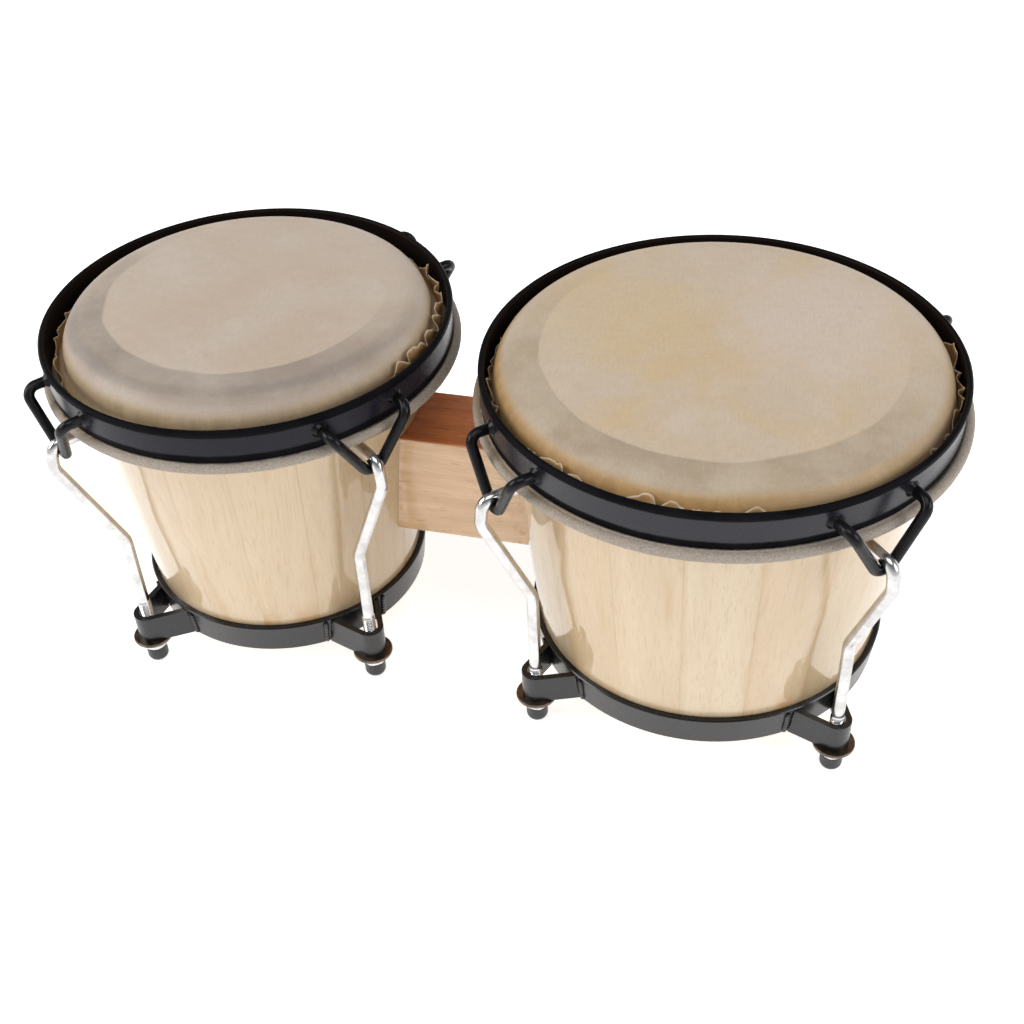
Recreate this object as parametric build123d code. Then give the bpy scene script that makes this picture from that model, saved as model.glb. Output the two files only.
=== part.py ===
from build123d import *
import math
import os

# Pair of bongo drums: a small and a large staved wooden shell bolted to one
# centre block, each with a rawhide head pulled down by a steel rim, four wire
# loops, four hooked tension rods, lugs welded to a bottom ring, washers, nuts
# and rubber end caps on which the pair stands.
# Millimetres. +Z up, X from the small drum to the large drum, origin on the
# standing surface under the middle of the overall box.

os.makedirs("parts", exist_ok=True)

# ---------------------------------------------------------------- dimensions
CENTRE_DISTANCE = 204.0      # between the two drum axes
SMALL_X = -107.0             # small drum axis
LARGE_X = SMALL_X + CENTRE_DISTANCE

Z_SHELL_BOTTOM = 16.5        # lower edge of the staves
Z_SHELL_TOP = 162.5          # bearing edge
Z_REF = 30.8                 # height at which the outer shell radius is given
WALL = 13.5                  # stave thickness
EDGE_R = 10.0                # rounding of the bearing edge
SHELLS = {
    # outer radius at Z_REF, outer slope, number of staves, rim outer radius and top,
    # hide roll centre outside the rim, tension rod circle radius, loop bottom radius,
    # first loop azimuth and the four lug azimuths (deg), top of the rod's thread
    "small": dict(x=SMALL_X, r=64.25, k=0.0998, staves=16, rim=88.6, rz1=159.0, roll=-0.4, rod=79.4, vee=92.0,
                  az=-128.2, lug_az=(-125.0, -41.8, 51.8, 141.8), thread=36.5),
    "large": dict(x=LARGE_X, r=76.20, k=0.1060, staves=18, rim=97.6, rz1=160.2, roll=0.6, rod=90.6, vee=104.5,
                  az=-137.0, lug_az=(-135.8, -44.6, 43.0, 133.0), thread=31.0),
}
CORNERS = ["front_left", "front_right", "back_right", "back_left"]

HIDE_T = 1.5                 # rawhide thickness
Z_HEAD_LIP = 149.0           # lower lip of the head's crown
RIM_Z0, RIM_T = 143.2, 2.6
BEAD_H, BEAD_OUT = 3.6, 0.7  # rolled bead along the rim's top edge
ROLL_R, ROLL_Z = 3.4, 141.0  # hide rolled round the flesh hoop
HOOP_R = 1.9                 # flesh hoop wire radius
RING_Z0, RING_H, RING_T = 15.5, 15.0, 2.5
FIT_GAP = 0.05               # faces that bear on each other round a curve

WIRE_R = 2.25                # loop wire radius
LOOP_HALF = 17.5             # half distance between the loop's two ends
LOOP_Z = 151.5               # height of the loop ends on the rim
LOOP_OUT = 8.5               # how far the wire stands out before it turns down
VEE_Z = 127.5                # wire centre at the bottom of the loop
ROD_R = 2.65                 # tension rod shank (rolled M6)
THREAD_R = 3.0               # M6 thread crest
B1_Z, B2_Z = 122.0, 74.0     # the rod's two set bends
LUG_Z0, LUG_H, LUG_T = 15.5, 14.0, 2.6
LUG_IN_R = 3.6               # inside radius of the lug's nose
LUG_HALF = 12.0              # half width of the lug where it meets the ring
WASHER_R, WASHER_HOLE, WASHER_T = 9.0, 3.2, 1.6
NUT_AF, NUT_H, NUT_BORE = 10.0, 5.0, 3.05
CAP_R, CAP_TOP, ROD_END = 4.8, 8.6, 2.5

BLOCK_Z0, BLOCK_Z1, BLOCK_W = 60.0, 112.5, 36.5
BOLT_Z = (73.0, 99.5)
BOLT_R, BOLT_HOLE = 3.0, 3.1
BOLT_INTO_BLOCK = 24.0


def shell_r(d, z):
    return d["r"] + d["k"] * (z - Z_REF)


def at(shape, d, az=0.0):
    """Turn a shape made about the Z axis to azimuth az and move it to the drum axis."""
    return Pos(d["x"], 0, 0) * Rot(0, 0, az) * shape


def rz_face(points):
    """Closed face in the X-Z half plane from (radius, height) points."""
    pts = [(r, 0, z) for r, z in points]
    return make_face(Polyline(*pts, close=True))


def spin(face, arc=360.0):
    return revolve(face, Axis.Z, arc)


def one(shape):
    s = shape.solids()
    assert len(s) == 1, len(s)
    return s[0]


def write(name, solids):
    solids = list(solids)
    shape = solids[0] if len(solids) == 1 else Compound(solids)
    export_step(shape, f"parts/{name}.step")
    print(f"{name:28s} {len(solids):3d}  {sum(s.volume for s in solids)/1000:9.2f} cm3")


# ------------------------------------------------------------------ builders
def arc_points(cr, cz, r, a0, a1, n):
    return [(cr + r * math.cos(math.radians(a0 + (a1 - a0) * i / n)),
             cz + r * math.sin(math.radians(a0 + (a1 - a0) * i / n))) for i in range(n + 1)]


def crown_face(edge_r, z_top, r_side, z_low, thick):
    """Section of the head: flat membrane, rounded crown, short side."""
    c_r, c_z = r_side - edge_r, z_top - edge_r
    o = edge_r + thick
    lines = [
        Line((0, 0, z_top), (c_r, 0, z_top)),
        ThreePointArc((c_r, 0, z_top), (c_r + edge_r * math.sin(math.pi / 4), 0, c_z + edge_r * math.cos(math.pi / 4)), (r_side, 0, c_z)),
        Line((r_side, 0, c_z), (r_side, 0, z_low)),
        Line((r_side, 0, z_low), (r_side + thick, 0, z_low)),
        Line((r_side + thick, 0, z_low), (r_side + thick, 0, c_z)),
        ThreePointArc((r_side + thick, 0, c_z), (c_r + o * math.sin(math.pi / 4), 0, c_z + o * math.cos(math.pi / 4)), (c_r, 0, z_top + thick)),
        Line((c_r, 0, z_top + thick), (0, 0, z_top + thick)),
        Line((0, 0, z_top + thick), (0, 0, z_top)),
    ]
    return make_face(Curve() + lines)


def stave_face(d):
    """Radial section of one stave, bearing edge rounded over outwards."""
    ro_b, ro_t = shell_r(d, Z_SHELL_BOTTOM), shell_r(d, Z_SHELL_TOP)
    ri_b, ri_t = ro_b - WALL, ro_t - WALL
    tilt = math.degrees(math.atan(d["k"]))
    # centre of the arc: EDGE_R below the top, EDGE_R inside the side line
    n = (math.cos(math.radians(tilt)), -math.sin(math.radians(tilt)))
    cz = Z_SHELL_TOP - EDGE_R
    side_r = shell_r(d, cz)
    cr = side_r - EDGE_R / math.cos(math.radians(tilt))
    t_side = (cr + EDGE_R * n[0], cz + EDGE_R * n[1])
    a_mid = math.radians((90 - tilt) / 2)
    mid = (cr + EDGE_R * math.cos(a_mid), cz + EDGE_R * math.sin(a_mid))
    e = 1.5
    lines = [
        Line((ri_b + 1, 0, Z_SHELL_BOTTOM), (ro_b - 1, 0, Z_SHELL_BOTTOM)),
        Line((ro_b - 1, 0, Z_SHELL_BOTTOM), (ro_b + 0.1, 0, Z_SHELL_BOTTOM + 1)),
        Line((ro_b + 0.1, 0, Z_SHELL_BOTTOM + 1), (t_side[0], 0, t_side[1])),
        ThreePointArc((t_side[0], 0, t_side[1]), (mid[0], 0, mid[1]), (cr, 0, Z_SHELL_TOP)),
        Line((cr, 0, Z_SHELL_TOP), (ri_t + e, 0, Z_SHELL_TOP)),
        Line((ri_t + e, 0, Z_SHELL_TOP), (ri_t - 0.15, 0, Z_SHELL_TOP - e)),
        Line((ri_t - 0.15, 0, Z_SHELL_TOP - e), (ri_b + 0.1, 0, Z_SHELL_BOTTOM + 1)),
        Line((ri_b + 0.1, 0, Z_SHELL_BOTTOM + 1), (ri_b + 1, 0, Z_SHELL_BOTTOM)),
    ]
    return make_face(Curve() + lines)


def along_x(r, x0, x1, z, y=0.0):
    return Pos((x0 + x1) / 2, y, z) * Rot(0, 90, 0) * Cylinder(r, abs(x1 - x0))


def shell_bolting(d, side):
    """Geometry of the two block bolts: side is +1 when the block is at +X of the axis."""
    out = []
    for z in BOLT_Z:
        flat = shell_r(d, z) - WALL + 9.5 * d["k"] + 0.3      # spot face for the washer
        out.append((z, flat * side + d["x"], side))
    return out


def staves(d, side):
    n = d["staves"]
    step = 360.0 / n
    face = stave_face(d)
    wedge = Rot(0, 0, -step / 2) * spin(face, step)
    solids = []
    for i in range(n):
        s = at(wedge, d, i * step)
        faces_block = (i == 0 and side > 0) or (side < 0 and 2 * i == n)
        if faces_block:
            for z, xf, sd in shell_bolting(d, side):
                s = s - along_x(BOLT_HOLE, xf - sd * 5, xf + sd * 30, z) - along_x(9.6, xf - sd * 8, xf, z)
        solids.append(one(s))
    return solids


def head(d):
    r_side = shell_r(d, Z_SHELL_TOP) + 0.1
    return [one(at(spin(crown_face(EDGE_R + 0.1, Z_SHELL_TOP + 0.05, r_side, Z_HEAD_LIP, HIDE_T)), d))]


def hem(d):
    """Hide between the crown and the flesh hoop, rolled round the hoop and pressed down by the rim."""
    rc, zc = d["rim"] + d["roll"], ROLL_Z
    r_top = shell_r(d, Z_SHELL_TOP) + 0.6
    skirt = Polygon((rc - ROLL_R + 0.3, zc - 0.8), (rc - ROLL_R + HIDE_T + 0.3, zc + 0.9),
                    (r_top + HIDE_T, Z_HEAD_LIP - 0.35), (r_top, Z_HEAD_LIP - 0.35), align=None)
    roll = Pos(rc, zc) * Circle(ROLL_R)
    hole = Pos(rc, zc) * Circle(HOOP_R + FIT_GAP)
    r0, r1 = d["rim"] - RIM_T - 0.12, d["rim"] - BEAD_OUT + 0.12
    seat = Pos((r0 + r1) / 2, RIM_Z0 - 0.1 + 10) * Rectangle(r1 - r0, 20)
    face = Plane.XZ * ((roll + skirt) - hole - seat)
    return [one(at(spin(face), d))]


def flesh_hoop(d):
    return [one(at(Pos(0, 0, ROLL_Z) * Torus(d["rim"] + d["roll"], HOOP_R), d))]


def rim(d):
    """Flat band with a rolled bead along its top edge."""
    ro, ri, top = d["rim"], d["rim"] - RIM_T, d["rz1"]
    face = rz_face([(ri, RIM_Z0 + 0.5), (ri + 0.5, RIM_Z0), (ro - BEAD_OUT - 0.7, RIM_Z0), (ro - BEAD_OUT, RIM_Z0 + 0.7),
                    (ro - BEAD_OUT, top - BEAD_H), (ro - 0.2, top - BEAD_H + 0.7), (ro, top - BEAD_H / 2 - 0.2),
                    (ro - 0.2, top - 0.8), (ro - 0.9, top - 0.1), (ro - RIM_T / 2, top), (ri + 0.6, top - 0.15),
                    (ri, top - 0.9)])
    return [one(at(spin(face), d))]


def loops(d):
    """Four bent wire loops; each wire's two ends butt against the rim."""
    ro = d["rim"] - BEAD_OUT
    out_r = ro + LOOP_OUT
    bend = 5.5
    apex = VEE_Z
    for _ in range(30):                       # corner point that puts the rounded bottom at VEE_Z
        half = math.atan2(LOOP_HALF, LOOP_Z - apex)
        apex = VEE_Z - bend * (1 / math.sin(half) - 1)
    pts = [(ro - 4, -LOOP_HALF, LOOP_Z), (out_r, -LOOP_HALF, LOOP_Z), (d["vee"], 0, apex),
           (out_r, LOOP_HALF, LOOP_Z), (ro - 4, LOOP_HALF, LOOP_Z)]
    path = FilletPolyline(*pts, radius=[4.5, bend, 4.5])
    wire = sweep(Plane(origin=pts[0], z_dir=(1, 0, 0)) * Circle(WIRE_R), path=path)
    cut = Pos(0, 0, LOOP_Z) * Cylinder(ro + 0.02, 40)
    wire = one(wire - cut)
    return [one(at(wire, d, d["az"] + 90 * i)) for i in range(4)]


def rod_path(d, i):
    """Route in the loop's own frame: hook over the loop, two set bends, then straight down through the lug."""
    c = 5.15                                  # hook centre line radius over the wire
    hook_r = d["vee"] + c
    top = VEE_Z + c
    lean = math.radians(d["lug_az"][i] - d["az"] - 90 * i)
    fx, fy = d["rod"] * math.cos(lean), d["rod"] * math.sin(lean)
    pts = [(d["vee"] - 11.5, 0, top + 0.1), (hook_r + 0.1, 0, top + 0.1), (hook_r + 1.5, 0, B1_Z),
           (fx, fy, B2_Z), (fx, fy, ROD_END)]
    return pts, [5.1, 9.0, 12.0]


def rod(d, i):
    pts, radii = rod_path(d, i)
    path = FilletPolyline(*pts, radius=radii)
    v = Vector(*pts[1]) - Vector(*pts[0])
    body = sweep(Plane(origin=pts[0], z_dir=v) * Circle(ROD_R), path=path)
    zt = d["thread"]
    thread = Pos(pts[-1][0], pts[-1][1], (ROD_END + zt) / 2) * Cylinder(THREAD_R, zt - ROD_END)
    thread = chamfer(thread.edges().filter_by(GeomType.CIRCLE), 0.34)
    return one(at(body + thread, d, d["az"] + 90 * i))


def ring_outer(d, z):
    return shell_r(d, z) + FIT_GAP + RING_T


def bottom_ring(d):
    z0, z1 = RING_Z0, RING_Z0 + RING_H
    a, b = shell_r(d, z0) + FIT_GAP, shell_r(d, z1) + FIT_GAP
    e = 0.5
    face = rz_face([(a, z0), (a + RING_T - e, z0), (a + RING_T, z0 + e), (b + RING_T, z1 - e), (b + RING_T - e, z1), (b, z1)])
    return [one(at(spin(face), d))]


def lugs(d):
    """Flat strap bent into a U round the rod, both ends welded to the ring."""
    rr = d["rod"]
    rb = ring_outer(d, LUG_Z0 + LUG_H / 2)

    def hull(nose, half, back):
        # tangent lines from the two base points to the nose circle
        px, py = back - rr, half
        dist = math.hypot(px, py)
        ang = math.atan2(py, px) - math.acos(nose / dist)
        t = (rr + nose * math.cos(ang), nose * math.sin(ang))
        return make_face(Curve() + [
            Line((back, -half), (t[0], -t[1])),
            ThreePointArc((t[0], -t[1]), (rr + nose, 0), (t[0], t[1])),
            Line((t[0], t[1]), (back, half)),
            Line((back, half), (back, -half))])

    outer = hull(LUG_IN_R + LUG_T, LUG_HALF + LUG_T, rb - 5)
    inner = hull(LUG_IN_R, LUG_HALF, rb - 5.5)
    strap = Pos(0, 0, LUG_Z0) * extrude(outer - inner, LUG_H)
    z0, z1 = LUG_Z0 - 3, LUG_Z0 + LUG_H + 3
    cone = spin(rz_face([(0, z0), (ring_outer(d, z0) + 0.1, z0), (ring_outer(d, z1) + 0.1, z1), (0, z1)]))
    strap = strap - cone
    strap = one(strap)
    return [one(at(strap, d, d["lug_az"][i])) for i in range(4)]


def washers(d):
    z0 = LUG_Z0 - WASHER_T
    w = Pos(d["rod"], 0, z0 + WASHER_T / 2) * (Cylinder(WASHER_R, WASHER_T) - Cylinder(WASHER_HOLE, WASHER_T * 2))
    w = fillet(w.edges().filter_by(GeomType.CIRCLE).group_by(SortBy.RADIUS)[-1], 0.5)
    return [one(at(w, d, d["lug_az"][i])) for i in range(4)]


def nut(d, i):
    z1 = LUG_Z0 - WASHER_T - 0.05
    h = extrude(RegularPolygon(NUT_AF / 2, 6, major_radius=False), NUT_H)
    e = 0.75
    rc = NUT_AF / math.sqrt(3)
    turn = spin(rz_face([(0, 0), (NUT_AF / 2 - 0.1, 0), (rc + 0.1, e), (rc + 0.1, NUT_H - e), (NUT_AF / 2 - 0.1, NUT_H), (0, NUT_H)]))
    bore = spin(rz_face([(0, -1), (NUT_BORE + 1.5, -1), (NUT_BORE, 0.45), (NUT_BORE, NUT_H - 0.45), (NUT_BORE + 1.5, NUT_H + 1), (0, NUT_H + 1)]))
    n = (h & turn) - bore
    return one(at(Pos(d["rod"], 0, z1 - NUT_H) * Rot(0, 0, 12) * n, d, d["lug_az"][i]))


def caps(d):
    """Soft rubber end cap over the rod's end, slightly domed, with a flat centre it stands on."""
    lines = [
        Line((0, 0, 0), (1.8, 0, 0)),
        ThreePointArc((1.8, 0, 0), (3.98, 0, 1.08), (CAP_R, 0, 3.6)),
        Line((CAP_R, 0, 3.6), (CAP_R, 0, CAP_TOP - 0.5)),
        Line((CAP_R, 0, CAP_TOP - 0.5), (CAP_R - 0.5, 0, CAP_TOP)),
        Line((CAP_R - 0.5, 0, CAP_TOP), (THREAD_R + 0.02, 0, CAP_TOP)),
        Line((THREAD_R + 0.02, 0, CAP_TOP), (THREAD_R + 0.02, 0, ROD_END - 0.02)),
        Line((THREAD_R + 0.02, 0, ROD_END - 0.02), (0, 0, ROD_END - 0.02)),
        Line((0, 0, ROD_END - 0.02), (0, 0, 0)),
    ]
    c = spin(make_face(Curve() + lines))
    return [one(at(Pos(d["rod"], 0, 0) * c, d, d["lug_az"][i])) for i in range(4)]


def block_bolts(d, side):
    bolts, wash = [], []
    for z, xf, sd in shell_bolting(d, side):
        face_x = d["x"] + sd * shell_r(d, z)
        end = face_x + sd * BOLT_INTO_BLOCK
        seat = xf - sd * WASHER_T
        shank = along_x(BOLT_R, seat, end, z)
        headhex = Pos(seat, 0, z) * Rot(0, -90 * sd, 0) * extrude(RegularPolygon(5.0, 6, major_radius=False), 4.0)
        bolts.append(one(shank + headhex))
        ring = along_x(WASHER_R, xf, seat, z) - along_x(WASHER_HOLE, xf + sd, seat - sd, z)
        wash.append(one(ring))
    return bolts, wash


def centre_block():
    length = CENTRE_DISTANCE
    mid = (SMALL_X + LARGE_X) / 2
    b = Pos(mid, 0, (BLOCK_Z0 + BLOCK_Z1) / 2) * Box(length - 40, BLOCK_W, BLOCK_Z1 - BLOCK_Z0)
    b = fillet(b.edges().filter_by(Axis.X), 1.2)
    for name, side in (("small", 1), ("large", -1)):
        d = SHELLS[name]
        z0, z1 = BLOCK_Z0 - 5, BLOCK_Z1 + 5
        g = FIT_GAP
        cone = spin(rz_face([(0, z0), (shell_r(d, z0) + g, z0), (shell_r(d, z1) + g, z1), (0, z1)]))
        b = b - at(cone, d)
        for z, xf, sd in shell_bolting(d, side):
            face_x = d["x"] + sd * shell_r(d, z)
            b = b - along_x(BOLT_HOLE, face_x - sd * 5, face_x + sd * (BOLT_INTO_BLOCK + 2), z)
    return [one(b)]


# --------------------------------------------------------------------- build
write("centre_block", centre_block())
for name, side in (("small", 1), ("large", -1)):
    d = SHELLS[name]
    write(f"{name}_shell_staves", staves(d, side))
    write(f"{name}_head", head(d))
    write(f"{name}_hide_hem", hem(d))
    write(f"{name}_flesh_hoop", flesh_hoop(d))
    write(f"{name}_rim", rim(d))
    write(f"{name}_rim_loops", loops(d))
    write(f"{name}_bottom_ring", bottom_ring(d))
    write(f"{name}_lugs", lugs(d))
    write(f"{name}_washers", washers(d))
    write(f"{name}_foot_caps", caps(d))
    for i, corner in enumerate(CORNERS):
        write(f"{name}_rod_{corner}", [rod(d, i)])
        write(f"{name}_nut_{corner}", [nut(d, i)])
    bolts, wash = block_bolts(d, side)
    write(f"{name}_block_bolts", bolts)
    write(f"{name}_bolt_washers", wash)
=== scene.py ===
import math

import bpy
import numpy as np
from mathutils import Matrix, Vector, noise


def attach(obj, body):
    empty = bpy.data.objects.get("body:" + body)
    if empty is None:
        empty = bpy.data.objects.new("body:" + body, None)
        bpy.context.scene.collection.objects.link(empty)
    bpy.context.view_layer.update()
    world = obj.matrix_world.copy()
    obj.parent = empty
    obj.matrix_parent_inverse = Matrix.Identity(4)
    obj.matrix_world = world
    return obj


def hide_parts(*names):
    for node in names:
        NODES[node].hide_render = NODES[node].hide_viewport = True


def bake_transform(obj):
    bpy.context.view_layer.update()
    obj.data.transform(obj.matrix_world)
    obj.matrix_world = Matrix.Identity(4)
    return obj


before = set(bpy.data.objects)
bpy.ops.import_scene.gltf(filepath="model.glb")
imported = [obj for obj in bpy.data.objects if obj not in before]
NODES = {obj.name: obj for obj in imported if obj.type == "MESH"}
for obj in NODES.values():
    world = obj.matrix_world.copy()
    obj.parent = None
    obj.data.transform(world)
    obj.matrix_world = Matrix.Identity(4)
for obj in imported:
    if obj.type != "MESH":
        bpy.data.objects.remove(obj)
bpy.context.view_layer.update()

TAU = 2 * math.pi

# ------------------------------------------------------------------ sizes, mm
SMALL_X, LARGE_X = -107.0, 97.0
Z_TOP, Z_REF, WALL, EDGE_R = 162.5, 30.8, 13.5, 10.0
DRUMS = {
    "small": dict(x=SMALL_X, r=64.25, k=0.0998, staves=16, rim=88.6, rz1=159.0, roll=-0.4, rod=79.4, vee=92.0,
                  az=-128.2, lug_az=(-125.0, -41.8, 51.8, 141.8), thread=36.5),
    "large": dict(x=LARGE_X, r=76.20, k=0.1060, staves=18, rim=97.6, rz1=160.2, roll=0.6, rod=90.6, vee=104.5,
                  az=-137.0, lug_az=(-135.8, -44.6, 43.0, 133.0), thread=31.0),
}
CORNERS = ["front_left", "front_right", "back_right", "back_left"]
HIDE_T, LIP_Z = 1.5, 149.0
RIM_Z0, RIM_T, BEAD_OUT = 143.2, 2.6, 0.7
ROLL_R, ROLL_Z = 3.4, 141.0
ROD_R, THREAD_R, ROD_END = 2.65, 3.0, 2.5
VEE_Z, B1_Z, B2_Z = 127.5, 122.0, 74.0
LOOP_HALF, LOOP_Z, WIRE_R = 17.5, 151.5, 2.25
LUG_Z0, LUG_H, LUG_HALF, LUG_T, RING_T = 15.5, 14.0, 12.0, 2.6, 2.5


def shell_r(d, z):
    return d["r"] + d["k"] * (z - Z_REF)


def n3(x, y=0.0, z=0.0):
    return noise.noise(Vector((x, y, z)))


def ring_noise(a, freq, seed, detail=1):
    """Smooth periodic noise of an azimuth array, about -1..1."""
    out = np.zeros(len(a))
    amp, tot, f = 1.0, 0.0, freq
    for o in range(detail):
        out += amp * np.array([n3(f * math.cos(t), f * math.sin(t), seed + 7.3 * o) for t in a])
        tot += amp
        amp *= 0.5
        f *= 2.1
    return out / tot * 1.6


# ------------------------------------------------------------------ materials
class Mat:
    def __init__(self, name):
        self.m = bpy.data.materials.new(name)
        self.m.use_nodes = True
        self.nt = self.m.node_tree
        self.nt.nodes.clear()
        self.out = self.nt.nodes.new("ShaderNodeOutputMaterial")
        self.b = self.nt.nodes.new("ShaderNodeBsdfPrincipled")
        self.nt.links.new(self.b.outputs[0], self.out.inputs[0])
        self.obj = self.nt.nodes.new("ShaderNodeTexCoord").outputs["Object"]

    def put(self, socket, v):
        if isinstance(v, bpy.types.NodeSocket):
            self.nt.links.new(v, socket)
        else:
            socket.default_value = v

    def set(self, **kw):
        for k, v in kw.items():
            self.put(self.b.inputs[k.replace("_", " ")], v)
        return self

    def math(self, op, a, b=None, c=None, clamp=False):
        n = self.nt.nodes.new("ShaderNodeMath")
        n.operation, n.use_clamp = op, clamp
        for i, v in enumerate((a, b, c)):
            if v is not None:
                self.put(n.inputs[i], v)
        return n.outputs[0]

    def vmath(self, op, a, b=None, scale=None):
        n = self.nt.nodes.new("ShaderNodeVectorMath")
        n.operation = op
        self.put(n.inputs[0], a)
        if b is not None:
            self.put(n.inputs[1], b)
        if scale is not None:
            self.put(n.inputs["Scale"], scale)
        return n.outputs["Value"] if op in ("LENGTH", "DOT_PRODUCT", "DISTANCE") else n.outputs[0]

    def xyz(self, v):
        n = self.nt.nodes.new("ShaderNodeSeparateXYZ")
        self.put(n.inputs[0], v)
        return n.outputs

    def vec(self, x, y, z):
        n = self.nt.nodes.new("ShaderNodeCombineXYZ")
        for i, v in enumerate((x, y, z)):
            self.put(n.inputs[i], v)
        return n.outputs[0]

    def noise(self, v, scale, detail=2.0, rough=0.5, dist=0.0):
        n = self.nt.nodes.new("ShaderNodeTexNoise")
        self.put(n.inputs["Vector"], v)
        n.inputs["Scale"].default_value = scale
        n.inputs["Detail"].default_value = detail
        n.inputs["Roughness"].default_value = rough
        n.inputs["Distortion"].default_value = dist
        return n.outputs[0]

    def voronoi(self, v, scale, feature="F1", out="Distance", rnd=1.0):
        n = self.nt.nodes.new("ShaderNodeTexVoronoi")
        n.feature = feature
        self.put(n.inputs["Vector"], v)
        n.inputs["Scale"].default_value = scale
        n.inputs["Randomness"].default_value = rnd
        return n.outputs[out]

    def white(self, v):
        n = self.nt.nodes.new("ShaderNodeTexWhiteNoise")
        n.noise_dimensions = "1D"
        self.put(n.inputs["W"], v)
        return n.outputs

    def ramp(self, f, lo, hi, a=0.0, b=1.0, smooth=True):
        n = self.nt.nodes.new("ShaderNodeMapRange")
        n.interpolation_type = "SMOOTHSTEP" if smooth else "LINEAR"
        self.put(n.inputs["Value"], f)
        n.inputs["From Min"].default_value = lo
        n.inputs["From Max"].default_value = hi
        n.inputs["To Min"].default_value = a
        n.inputs["To Max"].default_value = b
        return n.outputs[0]

    def mix(self, f, a, b, kind="MIX"):
        n = self.nt.nodes.new("ShaderNodeMix")
        n.data_type, n.blend_type = "RGBA", kind
        self.put(n.inputs[0], f)
        for i, v in ((6, a), (7, b)):
            if isinstance(v, tuple) and len(v) == 3:
                v = (*v, 1.0)
            self.put(n.inputs[i], v)
        return n.outputs[2]

    def tint(self, c, t):
        return self.mix(1.0, c, t, "MULTIPLY")

    def bump(self, h, strength, dist, normal=None):
        n = self.nt.nodes.new("ShaderNodeBump")
        n.inputs["Strength"].default_value = strength
        n.inputs["Distance"].default_value = dist
        self.put(n.inputs["Height"], h)
        if normal is not None:
            self.put(n.inputs["Normal"], normal)
        return n.outputs[0]

    def polar(self, x0_mm):
        """(x, y, z sockets from the axis, radius, azimuth), metres and radians."""
        v = self.vmath("SUBTRACT", self.obj, (x0_mm / 1000, 0, 0))
        s = self.xyz(v)
        rad = self.math("SQRT", self.math("ADD", self.math("MULTIPLY", s[0], s[0]), self.math("MULTIPLY", s[1], s[1])))
        return v, s, rad, self.math("ARCTAN2", s[1], s[0])


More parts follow.
